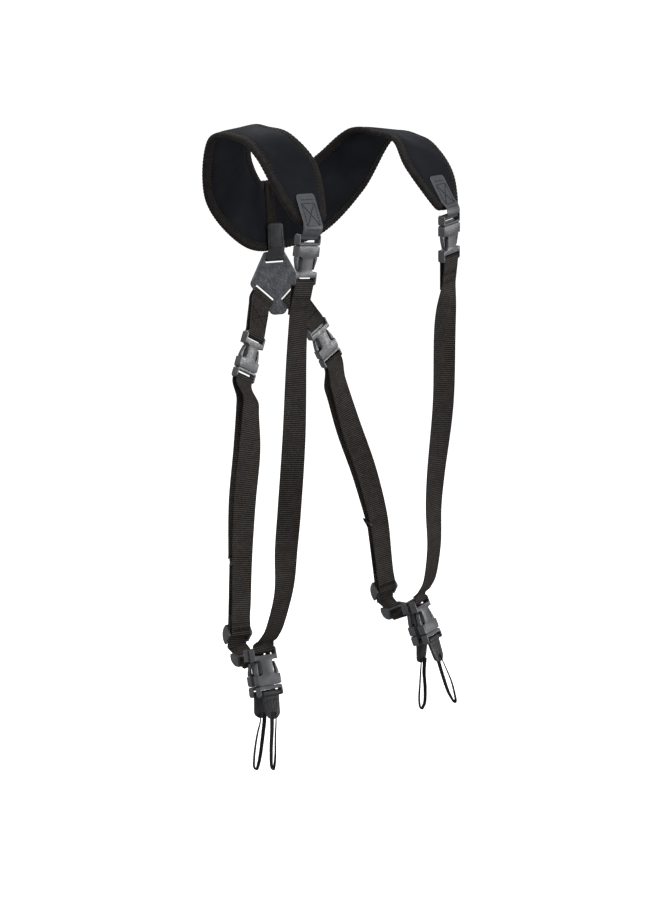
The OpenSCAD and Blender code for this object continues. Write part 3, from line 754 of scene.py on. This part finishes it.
def back_tab():
    C = [[1, 86.4, -103], [0.8, 85.8, -112], [0.5, 84.9, -122], [0.2, 83.8, -131]]
    for v in ([-PLATE_T / 2 - 1.2, 4], [-PLATE_T / 2 - 0.6, 1.2], [0, 0], [PLATE_T / 2 + 0.6, 1.2],
              [PLATE_T / 2 + 1.2, 4], [PLATE_T / 2 + 1.2, 9]):
        C.append(placed(PLATE_POS, PLATE_TURN, [0, v[0], v[1]]))
    W = [across(yaw) for yaw in (-10, -11, -14, -17, -20, -20, -20, -20, -20, -20)]
    strip = Strip(C, W, 0.5)
    U, V = leather_outline(strip, BACK_TAB_W, TAB_T, round_start=4)
    piece = strip.mesh("back_tab_leather", U, V, M["loop_leather"], "root", "leather")
    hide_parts("back_tab")
    h = TAB_T / 2 + 0.05
    rows = stitch_row(strip, (3.5, -6), (3.5, 6), h) + stitch_row(strip, (27, -7.5), (27, 7.5), h)
    for u in (-7.5, 7.5):
        rows += stitch_row(strip, (6, u), (27, u), h)
    threads("back_tab_stitches", rows, "root", 0.36)


back_tab()
for side in SIDES:
    front_tab(side)


# ---- webbing ----
def webbing(name, strip, node, side, body="root"):
    """Ribbed webbing: raised crossways ribs between two plain selvedges."""
    base = np.array([(-0.5, 0), (-0.492, 0.7), (-0.468, 0.95), (-0.455, 0.95), (-0.15, 1), (0.15, 1),
                     (0.455, 0.95), (0.468, 0.95), (0.492, 0.7)])
    base = np.vstack([base, [(0.5, 0)], [(x, -y) for x, y in base[:0:-1]]])
    U = np.repeat(base[None, :, 0] * WEB_W, len(strip.P), 0)
    rib = 0.5 - 0.5 * np.cos(2 * math.pi * strip.s / RIB)
    flat = (np.abs(base[:, 0]) < 0.46)[None]
    V = base[None, :, 1] * WEB_T / 2 * (1 - 0.34 * flat * rib[:, None])
    piece = strip.mesh(name, U, V, M["webbing"], body, "webbing", mirror=side == "right")
    if node:
        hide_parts(node)
    return piece


def tilt_to(d, yaw):
    q = turned([0, 0, -yaw], d)
    return [-math.degrees(math.asin(q[1])), math.degrees(math.atan2(q[0], q[2])), yaw]


def adjuster_line(side, d):
    return np.append(ADJUSTER_POS + unit(ADJUSTER_RISE) * d, ADJUSTER_YAW[side])


def stop_line(d):
    return np.append(STOP_POS - unit(STOP_RISE) * d, STOP_YAW)


def under(bar, angle):
    a = math.radians(angle)
    return bar + turned([0, 0, LOWER_YAW], [0, WRAP_R * math.cos(a), WRAP_R * math.sin(a)])


def split(points):
    """Points with a yaw as fourth number, as places and width directions."""
    return [np.array(p[:3]) for p in points], [across(p[3]) for p in points]


def slow_turn(bar_way, W):
    """Width directions that leave a slanted bar along it and come square to the run by degrees."""
    steps = np.linspace(0, 1, len(W) + 2)[1:-1]
    eases = [t * t * (3 - 2 * t) for t in steps]
    return [unit(bar_way * (1 - ease) + w * ease) for ease, w in zip(eases, W)]


def strap(side):
    rot = FRONT_TURN[side]
    tail = [placed(FRONT_BAR, rot, [0, y, z]) for y, z in ((2.9, 34), (2.9, 20), (2.9, 8))]
    tail += [placed(FRONT_BAR, rot, [0, WRAP_R * math.cos(a), -WRAP_R * math.sin(a)])
             for a in np.radians(np.arange(0, 181, 15))]
    tail += [placed(FRONT_BAR, rot, [0, y, z]) for y, z in ((-2.2, 8), (-0.8, 20))]
    front = [[*placed(FRONT_BAR, rot, [0, 0.6, 31]), rot[2]]]
    front += [[*p, yaw] for p, yaw in zip(FRONT_RUN, FRONT_YAW[side])]
    front += [[*(LOWER_FRONT_BAR + turned([0, 0, LOWER_YAW], [0, -WRAP_R, 9])), LOWER_YAW]]
    front, front_w = split(curve(front, 6))
    turn = [under(LOWER_FRONT_BAR, a) for a in np.arange(180, 271, 15)]
    turn += [under(LOWER_BACK_BAR, a) for a in range(250, 311, 20)]
    start = np.append(under(LOWER_BACK_BAR, 300) + (0, 3.4, -7), LOWER_YAW - 3)
    rise = [start, stop_line(13) - (0, 2.2, -2.6, 0), stop_line(9), stop_line(-9),
            adjuster_line(side, -14)]
    rise, rise_w = split(curve(rise, 5))
    plug_bar = placed(BACK_BAR, BACK_TURN, [0, 0, -BAR_GAP])
    back = [adjuster_line(side, -11), adjuster_line(side, 78)]
    back += [[*BACK_RUN[k], BACK_YAW[side][k]] for k in (3, 2, 1, 0)]
    back, back_w = split(curve(back, 5))
    top = [placed(plug_bar, BACK_TURN, [0, WRAP_R, z]) for z in (-4, -0.6)]
    C = tail + front + turn + rise + back + top
    W = [turned(rot, [-1, 0, 0])] * len(tail) + front_w
    W += [turned([0, LOWER_TURN["front"][1], LOWER_YAW], [1, 0, 0])] * len(turn) + rise_w + back_w
    bar_way = turned(BACK_TURN, [1, 0, 0])
    W += [bar_way] * len(top)
    W = squared(C, W)
    last = len(C) - len(top)
    W[last - 7:last] = slow_turn(bar_way, W[last - 7:last][::-1])[::-1]
    W[last:] = [bar_way] * len(top)
    strip = Strip(C, W, RIB / 4, sheared=True)
    webbing(f"strap_webbing_{side}", strip, f"strap_{side}", side)
    bar_s = 34 + math.pi * WRAP_R / 2
    rows = []
    for s in (19, 21.5, 30, 32):
        rows += stitch_row(strip, (bar_s + s, -11), (bar_s + s, 11), WEB_T / 2 + 0.1, 1.9, 0.2)
    threads(f"strap_stitches_{side}", rows, "root", 0.42, mirror=side == "right")


def strap_return(side):
    """Inner layer of the back run in three pieces: the upper stretch and the straight stretch stay, the
    straight one with a mesh of its own, and the fold round the middle bar rides on the adjuster."""
    way = -1 if side == "right" else 1
    plug_bar = placed(BACK_BAR, BACK_TURN, [0, 0, -BAR_GAP])
    hook_r = LADDER_BAR_R + WEB_GAP + WEB_T / 2
    turn = tilt_to(unit(ADJUSTER_RISE), ADJUSTER_YAW[side])
    over = [placed(plug_bar, BACK_TURN, [0, WRAP_R * math.cos(a), WRAP_R * math.sin(a)])
            for a in np.radians(np.arange(0, 181, 15))]
    over.append(placed(plug_bar, BACK_TURN, [0, -WRAP_R, -4]))
    run = []
    for k in range(4):
        yaw = BACK_YAW[side][k]
        shift = turned([0, 0, yaw], [way * LAYER_ASIDE[k], -LAYER_FRONT[k], 0])
        run.append([*(np.array(BACK_RUN[k]) + shift), yaw])
    run.append([*placed(ADJUSTER_POS, turn, [way * 1.5, -4.6, 34]), ADJUSTER_YAW[side]])
    run, run_w = split(curve(run, 6))
    tail = [placed(ADJUSTER_POS, turn, [0, y, z]) for y, z in ((-6, 20), (-7, 6))]
    tail += [placed(ADJUSTER_POS, turn, [0, MIDDLE_BAR_Y + hook_r * math.cos(a), hook_r * math.sin(a)])
             for a in np.radians(np.arange(180, 361, 15))]
    tail += [placed(ADJUSTER_POS, turn, [0, y, z]) for y, z in ((-2.2, 6), (-2.4, 22))]
    C = over + run + tail
    bar_way = turned(BACK_TURN, [1, 0, 0])
    W = squared(C, [bar_way] * len(over) + run_w + [turned(turn, [1, 0, 0])] * len(tail))
    first = len(over)
    W[:first] = [bar_way] * first
    W[first:first + 8] = slow_turn(bar_way, W[first:first + 8])
    strip = Strip(C, W, RIB / 4, sheared=True)
    d = (strip.P - ADJUSTER_POS) @ unit(ADJUSTER_RISE)
    hook_s = strip.s[np.argmin(d)]
    joins = [strip.s[np.where((d < h) & (strip.s < hook_s))[0][0]] for h in STRAIGHT_SPAN]
    step = RIB / 4
    webbing(f"return_webbing_{side}", strip.cut(-1, joins[0] + step / 2), f"strap_return_{side}", side)
    straight = webbing(f"return_straight_{side}", strip.cut(joins[0] - step, joins[1] + step / 2), None, side)
    hook = webbing(f"return_fold_{side}", strip.cut(joins[1] - step, strip.length + 1), None, side,
                   f"adjuster_{side}")
    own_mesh(straight)
    rows = []
    for s in (9, 11):
        rows += stitch_row(strip, (hook_s - s, -11), (hook_s - s, 11), WEB_T / 2 + 0.1, 1.9, 0.2)
    threads(f"fold_stitches_{side}", rows, f"adjuster_{side}", 0.42, mirror=side == "right")
    return hook


def back_loop(side):
    way = 1 if side == "left" else -1
    half = PLATE_T / 2 + WEB_GAP + WEB_T / 2
    slope = math.radians(PLATE_SLOPE)
    out = vec(way * math.sin(math.radians(LOOP_SLOPE)), 0, -math.cos(math.radians(LOOP_SLOPE)))
    slot_mid = vec(PLATE_TIP + way * PLATE_SLOT[0], 0, PLATE_SLOT[1])
    across_slot = 1.04 * turned(PLATE_TURN, [math.cos(slope), 0, way * math.sin(slope)])
    bar = BACK_BAR * (way, 1, 1)
    rot = [BACK_TURN[0], way * BACK_TURN[1], 0]
    top = [placed(PLATE_POS, PLATE_TURN, slot_mid + out * v + vec(0, y * half, 0))
           for y, v in ((-1.15, 11), (-1.05, 3), (-0.75, 1.2), (0, 0.7), (0.75, 1.2), (1.05, 3), (1.15, 11))]
    bottom = [placed(bar, rot, [0, y * WRAP_R, z * (WRAP_R if z < 0 else 1)])
              for y, z in ((1, 5), (1, 0), (0.7, -0.7), (0, -1), (-0.7, -0.7), (-1, 0), (-1, 5))]
    across_bar = turned(rot, [1, 0, 0])
    third = (0.25, 0.5, 0.75)
    C = top + [top[6] + (bottom[0] - top[6]) * t for t in third]
    C += bottom + [bottom[6] + (top[0] - bottom[6]) * t for t in third]
    W = [across_slot] * len(top) + [across_slot + (across_bar - across_slot) * t for t in third]
    W += [across_bar] * len(bottom) + [across_bar + (across_slot - across_bar) * t for t in third]
    strip = Strip(C, W, RIB / 4, closed=True, sheared=True)
    webbing(f"loop_webbing_{side}", strip, f"back_loop_{side}", "left")
    off = -WEB_T / 2 - 0.1
    s0 = strip.length - 7
    rows = []
    ends = ((s0 - 4, -10.5), (s0 - 4, 10.5), (s0 - 22, 10.5), (s0 - 22, -10.5))
    for a, b in ((0, 1), (1, 2), (2, 3), (3, 0), (0, 2), (1, 3)):
        rows += stitch_row(strip, ends[a], ends[b], off, 2.2, 0.3)
    threads(f"loop_stitches_{side}", rows, "root", 0.36)


for side in SIDES:
    strap(side)
    strap_return(side)
    back_loop(side)


# ---- moulded and cut pieces from the CAD solids, with eased edges ----
def eased(node, material, ease, angle=35):
    source = frame["nodes"][node]
    mesh = bmesh.new()
    mesh.from_mesh(source.data)
    bmesh.ops.remove_doubles(mesh, verts=mesh.verts, dist=2e-6)
    bmesh.ops.dissolve_limit(mesh, angle_limit=math.radians(1.5), verts=mesh.verts, edges=mesh.edges)
    sharp = [e for e in mesh.edges if len(e.link_faces) == 2 and e.calc_face_angle(0) > math.radians(angle)]
    bmesh.ops.bevel(mesh, geom=sharp, offset=ease * MM, offset_type="OFFSET", segments=2,
                    profile=0.6, affect="EDGES", clamp_overlap=True)
    bmesh.ops.triangulate(mesh, faces=[f for f in mesh.faces if len(f.verts) > 4])
    for face in mesh.faces:
        face.smooth = True
    data = bpy.data.meshes.new(node + "_eased")
    mesh.to_mesh(data)
    mesh.free()
    data.set_sharp_from_angle(angle=math.radians(38))
    data.materials.clear()
    data.materials.append(material)
    piece = bpy.data.objects.new(node + "_eased", data)
    bpy.context.scene.collection.objects.link(piece)
    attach(piece, BODY_OF[node])
    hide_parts(node)
    return piece


for side in SIDES:
    for position in ("front", "back", "lower_front", "lower_back"):
        eased(f"{position}_socket_{side}", M["plastic"], 0.55)
        eased(f"{position}_plug_{side}", M["plastic"], 0.5)
        for letter in "ab":
            eased(f"{position}_catch_{letter}_{side}", M["plastic"], 0.35)
    for name in ("adjuster", "stop_slider"):
        eased(f"{name}_{side}", M["plastic"], 0.5)
    for place in ("front", "back"):
        eased(f"{place}_loop_tab_{side}", M["loop_leather"], 0.3)
eased("back_plate", M["plate_leather"], 0.8)


def loop_tab_stitches(side, place):
    """A fan of stitches on both faces of a loop tab."""
    socket_bar = LOWER_FRONT_BAR if place == "front" else LOWER_BACK_BAR
    bar = placed(socket_bar, LOWER_TURN[place], [0, 0, -BAR_GAP])
    turn = LOOP_TAB_TURN[place]
    rows = []
    for way in (-1, 1):
        n = turned(turn, [0, way, 0])
        lines = [((x, -7), (x * 0.45, -23)) for x in (-6, -2.2, 2.2, 6)] + [((-6.5, -6.5), (6.5, -6.5))]
        for (x0, z0), (x1, z1) in lines:
            count = max(int(math.hypot(x1 - x0, z1 - z0) / 2.6), 1)
            for k in range(count):
                ends = [placed(bar, turn, [x0 + (x1 - x0) * t, way * 1.75, z0 + (z1 - z0) * t])
                        for t in ((k + 0.12) / count, (k + 0.88) / count)]
                rows.append((ends[0], ends[1], n))
    threads(f"{place}_loop_stitches_{side}", rows, f"{place}_loop_{side}", 0.36, mirror=side == "right")


for side in SIDES:
    for place in ("front", "back"):
        loop_tab_stitches(side, place)


# ---- floor and light ----
def make_stage():
    mesh = bpy.data.meshes.new("floor")
    reach, height = 60, -1.25
    corners = [(-reach, -reach, height), (reach, -reach, height), (reach, reach, height),
               (-reach, reach, height)]
    mesh.from_pydata(corners, [], [(0, 1, 2, 3)])
    mesh.materials.append(Nodes("floor", (0.93, 0.93, 0.93), 0.9, Emission_Color=(1, 1, 1, 1),
                                Emission_Strength=0.75).material)
    floor = bpy.data.objects.new("floor", mesh)
    dome_mesh = bpy.data.meshes.new("backdrop")
    ball = bmesh.new()
    bmesh.ops.create_uvsphere(ball, u_segments=48, v_segments=24, radius=30)
    ball.to_mesh(dome_mesh)
    ball.free()
    dome_mesh.materials.append(Nodes("backdrop", (0.9, 0.9, 0.9), 0.9, Emission_Color=(1, 1, 1, 1),
                                     Emission_Strength=1.0).material)
    backdrop = bpy.data.objects.new("backdrop", dome_mesh)
    for thing in (floor, backdrop):
        bpy.context.scene.collection.objects.link(thing)
        thing.visible_diffuse = False
        thing.visible_glossy = False
        thing.visible_shadow = False
    world = bpy.data.worlds.new("studio")
    bpy.context.scene.world = world
    world.use_nodes = True
    sky = world.node_tree.nodes["Background"]
    sky.inputs["Color"].default_value = (1, 1, 1, 1)
    sky.inputs["Strength"].default_value = 0.38
    # Name, place, size in metres and power in watts.
    lights = (("key", (-2.5, -0.6, 1.5), 1.2, 62), ("front", (2.0, -2.1, -0.15), 0.9, 46),
              ("top", (0.2, -1.2, 2.2), 1.2, 26), ("rim", (0.9, 1.9, 1.9), 1.2, 40))
    for name, place, size, power in lights:
        light = bpy.data.objects.new(name, bpy.data.lights.new(name, "AREA"))
        light.data.size = size
        light.data.energy = power
        light.location = place
        light.rotation_mode = "QUATERNION"
        light.rotation_quaternion = (Vector((0, 0, -0.3)) - Vector(place)).to_track_quat("-Z", "Y")
        bpy.context.scene.collection.objects.link(light)
    bpy.context.scene.view_settings.view_transform = "Standard"


make_stage()

bpy.context.view_layer.update()
import json
